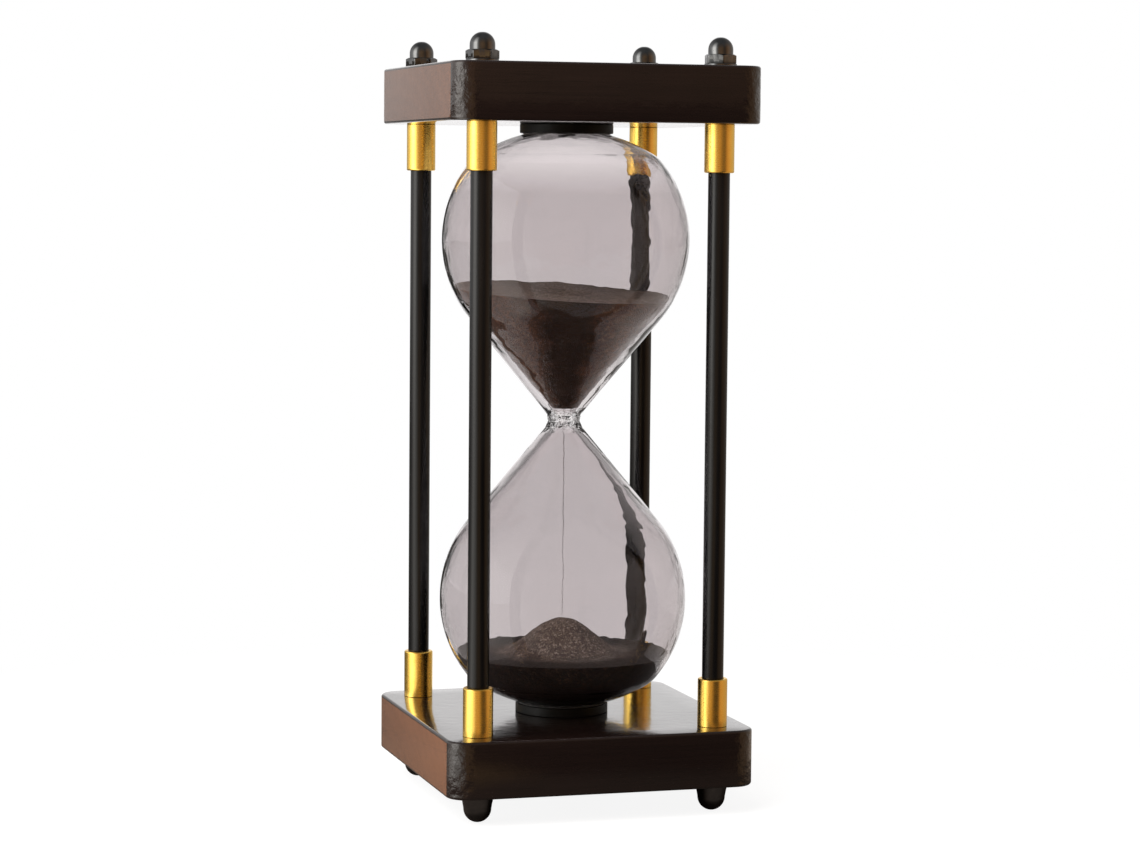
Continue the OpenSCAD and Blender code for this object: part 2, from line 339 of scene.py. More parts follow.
def felt(name):
    """Dark grey felt."""
    f = Finish(name)
    place = f.place()
    fibres = f.noise(place, 3800, 5, 0.7, 1.5)
    tone = f.noise(place, 300, 3, 0.5)
    colour = f.mix(f.ramp(fibres, 0.3, 0.7), rgb(0.020, 0.020, 0.021), rgb(0.070, 0.069, 0.068))
    return f.set(Base_Color=colour, Roughness=f.ramp(tone, 0.3, 0.7, 0.88, 1.0), Sheen_Weight=0.4,
                 Sheen_Roughness=0.5, Normal=f.bump(fibres, 0.0002, 0.8))


def grains(name, dark, mid, pale, clump, shade=None):
    """Sand: single grains, uneven patches of them, and a few pale ones. shade darkens a region."""
    f = Finish(name)
    place = f.place()
    cells = f.node("ShaderNodeTexVoronoi", {"Vector": place, "Scale": 2300.0, "Randomness": 1.0})
    tone = f.node("ShaderNodeSeparateColor", {"Color": cells.outputs["Color"]}).outputs["Red"]
    patch = f.noise(place, 620, 3, 0.7)
    heap = f.noise(place, 120, 4, 0.6)
    colour = f.mix(f.ramp(tone, 0.1, 0.8), rgb(*dark), rgb(*mid))
    colour = f.mix(f.ramp(patch, 0.40, 0.60, clump, 0.0), colour, rgb(*dark))
    colour = f.mix(f.ramp(tone, 0.84, 0.97, 0.0, 0.6), colour, rgb(*pale))
    colour = f.mix(f.ramp(heap, 0.38, 0.72, 0.0, 0.5), colour, rgb(*dark))
    if shade:
        colour = f.mix(shade(f, place, heap), colour, rgb(*(0.25 * v for v in dark)))
    normal = f.bump(f.math("MULTIPLY", cells.outputs["Distance"], -1.0), 0.0003, 0.9)
    return f.set(Base_Color=colour, Roughness=f.ramp(tone, 0.0, 1.0, 0.55, 0.85),
                 Normal=f.bump(patch, 0.0003, 0.7, normal), IOR=1.35)


def foot_shade(f, place, heap):
    """Painted shade: darker sand on the level ring round the mound."""
    split = f.node("ShaderNodeSeparateXYZ", {0: place})
    squares = [f.math("POWER", split.outputs[k], 2.0) for k in ("X", "Y")]
    reach = f.math("SQRT", f.math("ADD", *squares))
    reach = f.math("ADD", reach, f.ramp(heap, 0.3, 0.7, -0.003, 0.003))
    return f.ramp(reach, 0.018, 0.027, 0.0, 0.85)


def core_shade(f, place, heap):
    """Painted shade: a dark core that runs up through the middle of the funnel of sand, as seen from the
    front.
    """
    split = f.node("ShaderNodeSeparateXYZ", {0: place})
    across = f.math("ABSOLUTE", f.dot(place, (0.96, -0.29, 0.0)))
    climb = f.math("SUBTRACT", split.outputs["Z"], WAIST - 0.006)
    ratio = f.math("ADD", f.math("DIVIDE", across, climb), f.ramp(heap, 0.3, 0.7, -0.14, 0.14))
    return f.ramp(ratio, 0.16, 0.42, 0.88, 0.0)


def smoked_glass(name):
    """Blown glass: a wavy wall, and a smoke tint made paler over the sealed end as painted light."""
    f = Finish(name)
    place = f.place()
    wave = f.noise(place, 78, 2, 0.4)
    haze = f.noise(place, 60, 4, 0.6)
    height = f.node("ShaderNodeSeparateXYZ", {0: place}).outputs["Z"]
    neck = f.ramp(f.math("ABSOLUTE", f.math("SUBTRACT", height, WAIST)), 0.0018, 0.0042, 1.0, 0.0)
    marks = f.math("MULTIPLY", f.noise(place, 520, 2, 0.5), neck)
    tint = f.mix(f.ramp(haze, 0.3, 0.75), rgb(0.716, 0.678, 0.683), rgb(0.704, 0.666, 0.671))
    # Painted light: the tint is paler over the sealed end, to lighten the cap.
    sealed_end_painted_light = f.ramp(height, GLASS_TOP - 0.022, GLASS_TOP - 0.008, 0.0, 0.75)
    tint = f.mix(sealed_end_painted_light, tint, rgb(0.98, 0.95, 0.955))
    tint = f.mix(neck, tint, rgb(0.90, 0.88, 0.88))
    material = f.set(Base_Color=tint, Roughness=f.ramp(haze, 0.4, 0.8, 0.0, 0.01),
                     Normal=f.bump(marks, 0.0011, 1.0, f.bump(wave, 0.00040, 0.85)),
                     Transmission_Weight=1.0, IOR=1.45, Specular_Tint=rgb(0.4, 0.4, 0.4))
    path = f.node("ShaderNodeLightPath")
    clear = f.node("ShaderNodeBsdfTransparent", {"Color": rgb(0.80, 0.78, 0.78)})
    both = f.blend(path.outputs["Is Shadow Ray"], f.shader.outputs["BSDF"], clear.outputs["BSDF"])
    f.tree.links.new(both, f.output.inputs["Surface"])
    return material


# The end tones are partly the lighter colour of end grain and partly painted light: they are many times
# lighter than the face tones, as if lit from the left. The upper plate's end tones are a dimmer
# painted-light copy.
FACE_TONES = (0.0050, 0.0027, 0.0024), (0.0085, 0.0046, 0.0040), (0.0140, 0.0078, 0.0064)
END_GRAIN_AND_PAINTED_LIGHT_TONES = (0.100, 0.0400, 0.0190), (0.190, 0.0800, 0.0400), (0.270, 0.1250, 0.0680)
UPPER_END_GRAIN_AND_PAINTED_LIGHT_TONES = (0.052, 0.0210, 0.0105), (0.099, 0.0420, 0.0215), (0.140, 0.0650, 0.0360)
LOWER_SHIFT, UPPER_SHIFT = (0.0, 0.0, 0.0), (0.031, 0.017, -0.204)
LOWER_WOOD = plate_lo.z, plate_hi.z, LOWER_SHIFT
UPPER_WOOD = top_lo.z, top_hi.z, UPPER_SHIFT
WOOD_LOWER = (
    lacquered_wood("wood_lower", *LOWER_WOOD, *FACE_TONES),
    lacquered_wood("wood_lower_end_grain_painted_light", *LOWER_WOOD, *END_GRAIN_AND_PAINTED_LIGHT_TONES),
)
WOOD_UPPER = (
    lacquered_wood("wood_upper", *UPPER_WOOD, *FACE_TONES),
    lacquered_wood("wood_upper_end_grain_painted_light", *UPPER_WOOD, *UPPER_END_GRAIN_AND_PAINTED_LIGHT_TONES),
)
PAINT = satin_paint("black_satin_paint")
BRASS = polished_brass("polished_brass")
NICKEL = black_nickel("black_nickel")
STEEL = bright_steel("bright_steel")
MOULDED = moulded_black("moulded_black")
FELT = felt("grey_felt")
# Each body of sand has a finish for its free surface and one for its side against the glass. These are
# lit and shaded copies of one sand: the lower side is darkened with painted shade, and the upper side
# and upper free surface are lighter with painted light.
UPPER_SAND = (
    grains("loose_sand_upper_painted_light",
           (0.085, 0.063, 0.052), (0.345, 0.267, 0.220), (0.56, 0.475, 0.41), 0.75),
    grains("packed_sand_upper_painted_light",
           (0.048, 0.021, 0.010), (0.215, 0.088, 0.044), (0.34, 0.17, 0.10), 0.55, core_shade),
)
LOWER_SAND = (
    grains("loose_sand_lower",
           (0.042, 0.031, 0.026), (0.198, 0.152, 0.125), (0.43, 0.365, 0.31), 0.75, foot_shade),
    grains("packed_sand_lower_painted_shade",
           (0.006, 0.0035, 0.0024), (0.042, 0.024, 0.016), (0.10, 0.066, 0.045), 0.6),
)
GLASS = smoked_glass("smoked_glass")


# ---------- wooden plates ----------

def rounded_square(half, corner, inset, steps=12):
    """Points round a square with rounded corners, set in from its sides by inset."""
    points = []
    for k, (sx, sy) in enumerate(((1, 1), (-1, 1), (-1, -1), (1, -1))):
        cx, cy = sx * (half - corner), sy * (half - corner)
        for i in range(steps + 1):
            t = math.radians(90 * (k + i / steps))
            points.append((cx + (corner - inset) * math.cos(t),
                           cy + (corner - inset) * math.sin(t)))
    return points


def build_plate(name, inner_z, outer_z, finishes):
    """A plate with eased edges, rod holes and a socket. The sides across the grain get finishes[1], end
    grain lightened with painted light.
    """
    half, corner, ease = (plate_hi.x - plate_lo.x) / 2, 7.4 * MM, 0.9 * MM
    hole_r, socket_r, socket_depth = 2.6 * MM, 11.05 * MM, 4.2 * MM
    up = 1 if inner_z > outer_z else -1
    bm = bmesh.new()

    def loop(inset, z):
        return [bm.verts.new((x, y, z)) for x, y in rounded_square(half, corner, inset)]

    steps = 5
    turn = [math.radians(90 * i / steps) for i in range(steps + 1)]
    sides = [loop(ease * (1 - math.sin(t)), outer_z + up * ease * (1 - math.cos(t))) for t in turn]
    sides += [loop(ease * (1 - math.cos(t)), inner_z - up * ease * (1 - math.sin(t))) for t in turn]
    skin(bm, sides)

    holes = []
    for c in CORNERS:
        pair = [ring(bm, CENTRE[c], hole_r, z, 32) for z in (outer_z, inner_z)]
        skin(bm, pair)
        holes.append(pair)
    socket = [ring(bm, plate_mid, socket_r, z, 64) for z in (inner_z - up * socket_depth, inner_z)]
    skin(bm, socket)
    bm.faces.new(socket[0])

    def cap(outer, inner):
        edges = []
        for verts in [outer, *inner]:
            for a, b in zip(verts, verts[1:] + verts[:1]):
                edges.append(bm.edges.get((a, b)))
        bmesh.ops.triangle_fill(bm, use_beauty=True, use_dissolve=False, edges=edges)

    cap(sides[0], [pair[0] for pair in holes])
    cap(sides[-1], [pair[1] for pair in holes] + [socket[1]])
    plate = finish_mesh(name + "_wood", bm, finishes[0])
    plate.data.materials.append(finishes[1])
    # Flat faces across the grain get the end-grain finish with its painted light.
    for polygon in plate.data.polygons:
        if abs(polygon.normal.x) > 0.995:
            polygon.material_index = 1
    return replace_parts(plate, name)


build_plate("bottom_plate", plate_hi.z, plate_lo.z, WOOD_LOWER)
build_plate("top_plate", top_lo.z, top_hi.z, WOOD_UPPER)


# ---------- columns, ferrules, washers and nuts ----------

TIP_R = 1.0 * MM
BORE_R = 2.52 * MM
BORE_DEPTH = 5.4 * MM


def widest_ring(dome_r):
    """Height of a dome's widest ring above its tip."""
    return math.sqrt(dome_r ** 2 - TIP_R ** 2) + 0.03 * MM


def dome(dome_r):
    """Outline of a dome from its tip, at height 0, to its widest ring."""
    start = math.degrees(math.acos(TIP_R / dome_r))
    points = [(0.0, 0.0), (TIP_R * 0.55, 0.02 * MM)]
    return points + arc(0, widest_ring(dome_r), dome_r, -start, 0, 6)


def rod_bore(height):
    """Outline of the blind bore, from the nut's flat end to the bore's bottom."""
    bottom = height - BORE_DEPTH
    return [(BORE_R + 0.3 * MM, height), (BORE_R, height - 0.3 * MM), (BORE_R, bottom), (0.0, bottom)]


def rounded_hexagon(flats, corner, phase, flat_steps=8, corner_steps=4):
    """Points round a hexagon with slightly rounded corners, as (distance, angle) pairs."""
    points = []
    apothem = flats / 2
    tip = (apothem - corner) / math.cos(math.radians(30))
    run = (apothem - corner) * math.tan(math.radians(30))
    for k in range(6):
        face = math.radians(60 * k)
        for i in range(flat_steps + 1):
            s = run * (2 * i / flat_steps - 1)
            points.append((apothem * math.cos(face) - s * math.sin(face),
                           apothem * math.sin(face) + s * math.cos(face)))
        for i in range(1, corner_steps):
            t = face + math.radians(60 * i / corner_steps)
            at = face + math.radians(30)
            points.append((tip * math.cos(at) + corner * math.cos(t),
                           tip * math.sin(at) + corner * math.sin(t)))
    return [(math.hypot(x, y), math.atan2(y, x) + phase) for x, y in points]


def build_nut(name, corner):
    """Hexagonal domed cap nut on the upper end of a rod."""
    lo, hi, mid = node_box(name)
    height, flats, dome_r = hi.z - lo.z, 9.6 * MM, 4.15 * MM
    hex_z = height - 3.0 * MM
    outline = rounded_hexagon(flats, 0.45 * MM, math.radians(NUT_TURN[corner]))
    slope = math.tan(math.radians(30))
    bm = bmesh.new()

    def put(r, angle, z):
        return bm.verts.new((mid.x + r * math.cos(angle), mid.y + r * math.sin(angle), hi.z - z))

    def circle(r, z):
        if r < 1e-7:
            return [put(0, 0, z)]
        return [put(r, a, z) for _, a in outline]

    def hexagon(z, inset=0.0, chamfer=0.0):
        return [put(r - inset, a, z + (r - flats / 2) * chamfer) for r, a in outline]

    rings = [circle(r, z) for r, z in dome(dome_r)]
    shoulder = hex_z - 0.05 * MM
    rings += [circle(dome_r, z) for z in (widest_ring(dome_r) + 0.35 * MM, shoulder - 0.25 * MM)]
    rings += [circle(dome_r + 0.05 * MM, shoulder), circle(dome_r + 0.18 * MM, hex_z)]
    rings += [circle(flats / 2 - 0.12 * MM, hex_z), circle(flats / 2, hex_z + 0.05 * MM)]
    rings += [hexagon(hex_z + 0.07 * MM, 0.0, slope), hexagon(height - 0.18 * MM)]
    rings += [hexagon(height - 0.05 * MM, 0.05 * MM), hexagon(height, 0.18 * MM)]
    rings += [circle(r, z) for r, z in rod_bore(height)]
    skin(bm, rings)
    nut = finish_mesh(name + "_metal", bm, NICKEL)
    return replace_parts(nut, name)


def build_foot(name):
    """Domed foot on the lower end of a rod, flared towards the washer and lightly turned."""
    lo, hi, mid = node_box(name)
    height, dome_r, top_r = hi.z - lo.z, 4.6 * MM, (hi.x - lo.x) / 2
    start = widest_ring(dome_r)
    outline = dome(dome_r)
    steps = 10
    for i in range(1, steps):
        t = i / steps
        r = dome_r + (top_r - dome_r) * t
        outline.append((r - 0.05 * MM * math.sin(math.pi * t), start + (height - 0.2 * MM - start) * t))
    outline += [(top_r, height - 0.2 * MM), (top_r - 0.06 * MM, height - 0.05 * MM)]
    outline += [(top_r - 0.25 * MM, height)]
    outline += rod_bore(height)
    bm = bmesh.new()
    lathe(bm, [(r, lo.z + z) for r, z in outline], mid, 72)
    foot = finish_mesh(name + "_metal", bm, NICKEL)
    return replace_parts(foot, name)


def build_washer(name):
    lo, hi, mid = node_box(name)
    outer, bore = (hi.x - lo.x) / 2, 2.65 * MM
    outline = eased([(bore, lo.z), (outer, lo.z), (outer, hi.z), (bore, hi.z)], 0.22 * MM)
    bm = bmesh.new()
    lathe(bm, outline, mid, 72, closed=True)
    washer = finish_mesh(name + "_metal", bm, NICKEL)
    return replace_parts(washer, name)


def build_tube(name):
    lo, hi, mid = node_box(name)
    outer, bore = (hi.x - lo.x) / 2, (hi.x - lo.x) / 2 - 1.0 * MM
    outline = eased([(bore, lo.z), (outer, lo.z), (outer, hi.z), (bore, hi.z)], 0.15 * MM)
    bm = bmesh.new()
    lathe(bm, outline, mid, 72, closed=True)
    tube = finish_mesh(name + "_painted", bm, PAINT)
    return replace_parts(tube, name)


def build_ferrule(name, flipped):
    """Brass collar with a rounded lip at its free end."""
    lo, hi, mid = node_box(name)
    outer, inner, length = (hi.x - lo.x) / 2, 3.62 * MM, hi.z - lo.z
    outline = [(inner, 0.0), (outer - 0.12 * MM, 0.0), (outer, 0.14 * MM)]
    outline += [(outer, length - 0.55 * MM)]
    outline += arc(outer - 0.5 * MM, length - 0.5 * MM, 0.5 * MM, 0, 90, 15)
    outline += [(inner + 0.2 * MM, length), (inner, length - 0.2 * MM)]
    bm = bmesh.new()
    placed = [(r, hi.z - z if flipped else lo.z + z) for r, z in outline]
    lathe(bm, placed, mid, 96, closed=True)
    ferrule = finish_mesh(name + "_brass", bm, BRASS)
    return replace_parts(ferrule, name)


def cover(node, material):
    """Gives a hidden node, whose CAD mesh is kept, a material."""
    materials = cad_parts[node].data.materials
    materials.clear()
    materials.append(material)


for c in CORNERS:
    build_tube("column_tube_" + c)
    for end in ("upper", "lower"):
        build_ferrule(end + "_ferrule_" + c, end == "upper")
        build_washer(end + "_washer_" + c)
    build_nut("upper_cap_nut_" + c, c)
    build_foot("lower_cap_nut_" + c)
    cover("tie_rod_" + c, STEEL)


# ---------- glass ----------

GLASS_WALL = 1.8 * MM
WAIST_R = 5.5 * MM
ORIFICE_R = 1.2 * MM
BULB_HEIGHT = (glass_hi.z - WAIST) * 61 / 98.6
DOME_R = 56 * MM
BLEND_R = 14 * MM
DOME_Z = (glass_hi.z - WAIST) - DOME_R
PLUG_R = 3.0 * MM
GLASS_SEGMENTS = 192


def half_outline(inset, waist_r, line, step):
    """Upper half of the glass's outline from the waist to the axis, heights from the waist."""
    radius = BULB_R - inset
    angle = math.asin(radius / math.hypot(line, BULB_HEIGHT)) - math.atan2(line, BULB_HEIGHT)
    fillet = (waist_r - line) * math.cos(angle) / (1 - math.cos(angle))
    drop = BULB_HEIGHT - DOME_Z
    near, far = BULB_R - BLEND_R, DOME_R - BLEND_R
    rise = (far ** 2 - near ** 2 + drop ** 2) / (2 * drop)
    blend_x = math.sqrt(far ** 2 - rise ** 2)
    blend_z = DOME_Z + rise
    to_blend = math.degrees(math.atan2(blend_z - BULB_HEIGHT, blend_x))
    to_dome = math.degrees(math.atan2(rise, blend_x))
    cone = math.degrees(angle)
    points = arc(waist_r + fillet, 0, fillet, 180, 180 - cone, step)
    straight = 6
    start, end = points[-1], arc(0, BULB_HEIGHT, radius, -cone, -cone + 1, 1)[0]
    for i in range(1, straight):
        points.append(tuple(Vector(start).lerp(Vector(end), i / straight)))
    points += arc(0, BULB_HEIGHT, radius, -cone, to_blend, step)
    points += arc(blend_x, blend_z, BLEND_R - inset, to_blend, to_dome, step)[1:]
    points += arc(0, DOME_Z, DOME_R - inset, to_dome, 90, step)[1:]
    return points


def both_halves(half):
    """The whole outline, from the lower end to the upper one."""
    return [(r, -z) for r, z in reversed(half)][:-1] + list(half)


def thinned(points):
    """Moves an inner outline out where the blown wall is thinner, away from the waist."""
    out = []
    for r, z in points:
        bulb_z = math.copysign(BULB_HEIGHT, z)
        offset = Vector((r, z - bulb_z))
        t = max(0.0, min(1.0, (abs(z) - 28 * MM) / (18 * MM)))
        moved = offset + offset.normalized() * 0.75 * MM * t * t * (3 - 2 * t)
        out.append((max(moved.x, 0.0) if r > 1e-9 else 0.0, moved.y + bulb_z))
    return out


def shape_glass(bm, first_inner):
    """Pinch marks at the waist, and an inner wall that the blowing left thinner in places."""
    centre = Vector((glass_mid.x, glass_mid.y, WAIST))
    for v in bm.verts:
        d = v.co - centre
        r = math.hypot(d.x, d.y)
        if r < 1e-6:
            continue
        near = math.exp(-(d.z / (4.5 * MM)) ** 2)
        turn = Vector((d.x / r, d.y / r, 0))
        pinch = near * 0.22 * MM * noise.noise(turn * 1.7 + Vector((0, 0, d.z / (2.2 * MM))))
        ripple = near * 0.10 * MM * math.sin(d.z / MM * 2.6)
        change = (pinch + ripple) * (1 if r > 3.5 * MM else 0.35)
        if v.index >= first_inner and abs(d.z) > 6 * MM:
            thin = 0.5 + 0.5 * noise.noise(d / (17 * MM)) + 0.25 * noise.noise(d / (7 * MM))
            fade = min(1.0, (abs(d.z) - 6 * MM) / (12 * MM))
            change += 0.10 * MM * max(0.0, min(1.0, thin)) * fade
        v.co.x += turn.x * change
        v.co.y += turn.y * change


def build_glass():
    """The blown vessel: an outer and an inner skin, joined at the filling hole's rim."""
    outer = both_halves(half_outline(0.0, WAIST_R, 0.76 * WAIST_R, 2.0))
    inner = both_halves(half_outline(GLASS_WALL, ORIFICE_R, 0.4 * ORIFICE_R, 2.0))
    outer = [p for p in outer if not (p[1] > 0 and p[0] < PLUG_R)]
    inner = [p for p in thinned(inner) if not (p[1] > 0 and p[0] < PLUG_R)]
    rim_z = DOME_Z + math.sqrt(DOME_R ** 2 - PLUG_R ** 2)
    inner_rim_z = inner[-1][1]
    outline = outer + [(PLUG_R, rim_z), (PLUG_R, inner_rim_z)] + list(reversed(inner))
    bm = bmesh.new()
    lathe(bm, [(max(r, 0.0), WAIST + z) for r, z in outline], glass_mid, GLASS_SEGMENTS)
    bm.verts.index_update()
    shape_glass(bm, 1 + GLASS_SEGMENTS * len(outer))
    glass = finish_mesh("blown_glass", bm, GLASS)
    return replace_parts(glass, "glass_bulb")


build_glass()


# ---------- seats, pads and stopper ----------

def build_seat(name, flipped):
    """Cup with a spigot, hollowed to the shape of the pad. Drawn as the lower one."""
    lo, hi, mid = node_box(name)
    pad_face = DOME_R + 0.53 * MM
    seat_r, spigot_r, spigot_depth = (hi.x - lo.x) / 2, 11.0 * MM, 4.0 * MM
    centre_z = WAIST - DOME_Z
    rim = math.degrees(math.acos(seat_r / pad_face))
    bowl = arc(0, centre_z, pad_face, -rim, -90, 2.0)
    outline = [(0.0, LOWER_FACE - spigot_depth), (spigot_r - 0.3 * MM, LOWER_FACE - spigot_depth)]
    outline += [(spigot_r, LOWER_FACE - spigot_depth + 0.3 * MM), (spigot_r, LOWER_FACE)]
    outline += [(seat_r - 0.25 * MM, LOWER_FACE), (seat_r, LOWER_FACE + 0.25 * MM)]
    top = bowl[0][1]
    outline += arc(seat_r - 0.45 * MM, top - 0.55 * MM, 0.45 * MM, 0, 80, 16)
    outline += [(r, z) for r, z in bowl if r < seat_r - 0.8 * MM][:-1] + [(0.0, bowl[-1][1])]
    bm = bmesh.new()
    lathe(bm, mirrored(outline) if flipped else outline, mid, 120)
    seat = finish_mesh(name + "_cup", bm, MOULDED)
    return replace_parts(seat, name)


build_seat("lower_seat", False)
build_seat("upper_seat", True)
cover("upper_pad", FELT)
cover("lower_pad", FELT)
cover("fill_plug", MOULDED)


# ---------- sand ----------

SAND_GAP = 0.15 * MM
UPPER_LEVEL = 43.4 * MM
TILT = math.tan(math.radians(4.1))
TILT_X, TILT_Y = math.cos(math.radians(-54)), math.sin(math.radians(-54))
LOWER_LEVEL = 79.4 * MM
MOUND_HEIGHT = 11.5 * MM
MOUND_R = 23 * MM
THROAT = 4.6 * MM
throat_r = ORIFICE_R - SAND_GAP
inner_half = thinned(half_outline(GLASS_WALL + SAND_GAP, throat_r, 0.4 * throat_r, 1.0))


def wall_radius(height):
    """Inner radius of the glass, less the sand's gap, at a height above or below the waist."""
    h = abs(height)
    for (r0, z0), (r1, z1) in zip(inner_half, inner_half[1:]):
        if z0 <= h <= z1:
            return r0 + (r1 - r0) * (h - z0) / max(z1 - z0, 1e-9)
    return 0.0


def roughness_of(x, y, scale, depth):
    """Unevenness of a free surface, up or down."""
    coarse = noise.noise(Vector((x, y, 3.1)) * scale)
    return depth * (coarse + 0.5 * noise.noise(Vector((x, y, 7.7)) * scale * 2.3))


def crumbled(cx, cy, h, r):
    """How far the upper sand has fallen away from the glass, near its tip."""
    near = max(0.0, 1 - (h - THROAT) / (11 * MM))
    coarse = noise.noise(Vector((cx, cy, h / (6 * MM))) * 1.6)
    lump = 0.5 + coarse + 0.5 * noise.noise(Vector((cx, cy, h / (2 * MM))) * 5)
    round_tip = 0.25 * r * max(0.0, 1 - (h - THROAT) / (1.2 * MM)) ** 2
    return round_tip + min(0.4 * r, 1.1 * MM * near * max(0.0, lump))


def heap_mesh(name, node, finishes, rim_height, surface, side_from):
    """A body of sand: a side that follows the glass up to the rim, and a free surface."""
    segments, side_steps, top_steps = 220, 70, 80
    bm = bmesh.new()
    above = side_from > 0
    columns = []
    for i in range(segments):
        cx, cy = math.cos(math.tau * i / segments), math.sin(math.tau * i / segments)
        columns.append((cx, cy, rim_height(cx, cy)))
    rings = []
    for k in range(side_steps + 1):
        t = k / side_steps
        row = []
        for cx, cy, rim in columns:
            h = side_from + (rim - side_from) * (t ** 1.3 if above else 1 - (1 - t) ** 1.6)
            r = wall_radius(h)
            if above:
                r -= crumbled(cx, cy, h, r)
            elif k == 0:
                r = 0.0
            row.append(bm.verts.new((glass_mid.x + r * cx, glass_mid.y + r * cy, WAIST + h)))
        rings.append(row)
    for k in range(1, top_steps + 1):
        t = 1 - k / top_steps
        row = []
        for cx, cy, rim in columns:
            r = wall_radius(rim) * t
            x, y = r * cx, r * cy
            blend = min(1.0, (1 - t) / 0.06)
            h = surface(x, y) * blend + rim * (1 - blend)
            row.append(bm.verts.new((glass_mid.x + x, glass_mid.y + y, WAIST + h)))
        rings.append(row)
    skin(bm, rings)
    side_faces = side_steps * segments
    if above:
        bm.faces.new(rings[0])
    bm.faces.ensure_lookup_table()
    for k, face in enumerate(bm.faces):
        face.material_index = 1 if k < side_faces or len(face.verts) > 4 else 0
    sand = finish_mesh(name, bm, finishes[0])
    sand.data.materials.append(finishes[1])
    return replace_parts(sand, node)


def upper_plane(x, y):
    return UPPER_LEVEL - TILT * (x * TILT_X + y * TILT_Y)


def upper_surface(x, y):
    r = math.hypot(x, y)
    dimple = 3.0 * MM * max(0.0, 1 - r / (15 * MM)) ** 1.3
    return upper_plane(x, y) - dimple - abs(roughness_of(x, y, 650, 0.09 * MM)) - 0.1 * MM


def upper_rim(cx, cy):
    h = UPPER_LEVEL
    for _ in range(8):
        r = wall_radius(h)
        h = upper_plane(r * cx, r * cy)
    r = wall_radius(h)
    return h - 0.05 * MM - abs(roughness_of(r * cx, r * cy, 420, 0.12 * MM))


def lower_surface(x, y):
    r = math.hypot(x, y)
    mound = MOUND_HEIGHT * (1 + math.cos(math.pi * min(1.0, r / MOUND_R))) / 2
    return mound - LOWER_LEVEL - abs(roughness_of(x, y, 560, 0.13 * MM)) - 0.05 * MM


def lower_rim(cx, cy):
    r = wall_radius(LOWER_LEVEL)
    return -LOWER_LEVEL - 0.1 * MM - abs(roughness_of(r * cx, r * cy, 520, 0.20 * MM))


heap_mesh("upper_sand_grains", "upper_sand", UPPER_SAND, upper_rim, upper_surface, THROAT)
lowest = -inner_half[-1][1]
heap_mesh("lower_sand_grains", "lower_sand", LOWER_SAND, lower_rim, lower_surface, lowest)


def grain(bm, centre, radius):
    """One sand grain: a small ball with uneven corners."""
    turn = rng.uniform(0, math.tau)
    sides = 5
    rings = [[bm.verts.new(centre + Vector((0, 0, -radius)))]]
    for level in (-0.45, 0.45):
        wide = math.sqrt(1 - level * level)
        rings.append([
            bm.verts.new(centre + Vector((
                radius * wide * math.cos(turn + math.tau * i / sides) * rng.uniform(0.8, 1.1),
                radius * wide * math.sin(turn + math.tau * i / sides) * rng.uniform(0.8, 1.1),
                radius * level)))
            for i in range(sides)
        ])
    rings.append([bm.verts.new(centre + Vector((0, 0, radius)))])
    skin(bm, rings)


def build_stream():
    """Falling grains that spread and part as they fall."""
    lo, hi, mid = node_box("sand_stream")
    bm = bmesh.new()
    z = hi.z - 0.2 * MM
    while z > lo.z + 0.4 * MM:
        fall = (hi.z - z) / (hi.z - lo.z)
        spread = 0.16 * MM + 0.10 * MM * fall
        x, y = rng.gauss(0, spread * 0.5), rng.gauss(0, spread * 0.5)
        x, y = (max(-spread, min(spread, v)) for v in (x, y))
        grain(bm, Vector((mid.x + x, mid.y + y, z)), rng.uniform(0.10, 0.17) * MM)
        z -= rng.uniform(0.10, 0.24) * MM * (1 + 0.9 * fall)
    stream = finish_mesh("falling_grains", bm, LOWER_SAND[0])
    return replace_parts(stream, "sand_stream")


build_stream()


# ---------- floor, light and camera ----------

def camera_axes():
    yaw, pitch, roll = (math.radians(v) for v in (-16.728, -4.649, -0.527))
    turn = Matrix.Rotation(yaw, 3, "Z") @ Matrix.Rotation(pitch, 3, "X") @ Matrix.Rotation(roll, 3, "Y")
    return turn.col[0], turn.col[1], turn.col[2]


right, forward, up = camera_axes()
away = Vector((forward.x, forward.y, 0)).normalized()
side = Vector((right.x, right.y, 0)).normalized()


def add_camera():
    data = bpy.data.cameras.new("camera")
    data.lens = 97.07
    data.sensor_width = 36
    data.clip_end = 50
    camera = bpy.data.objects.new("camera", data)
    bpy.context.scene.collection.objects.link(camera)
    target = Vector((2.16 * MM, 0, 125.6 * MM))
    place = Matrix((right, up, -forward)).transposed().to_4x4()
    place.translation = target - forward * 1.0474
    camera.matrix_world = place
    bpy.context.scene.camera = camera


def add_lamp():
    """Soft overhead lamp, from the left and a little in front."""
    toward = -away * 0.5 - side * 0.45 + Vector((0, 0, 0.8))
    data = bpy.data.lights.new("overhead", "AREA")
    data.shape = "RECTANGLE"
    data.size, data.size_y = 0.8, 0.8
    data.energy = 16
    data.color = (1.0, 0.96, 0.92)
    lamp = bpy.data.objects.new("overhead", data)
    bpy.context.scene.collection.objects.link(lamp)
    lamp.location = Vector((0, 0, WAIST)) + toward.normalized() * 0.9
    lamp.rotation_mode = "QUATERNION"
    lamp.rotation_quaternion = (-toward).to_track_quat("-Z", "Y")
    lamp.visible_camera = False
    lamp.visible_transmission = False
    lamp.visible_glossy = False


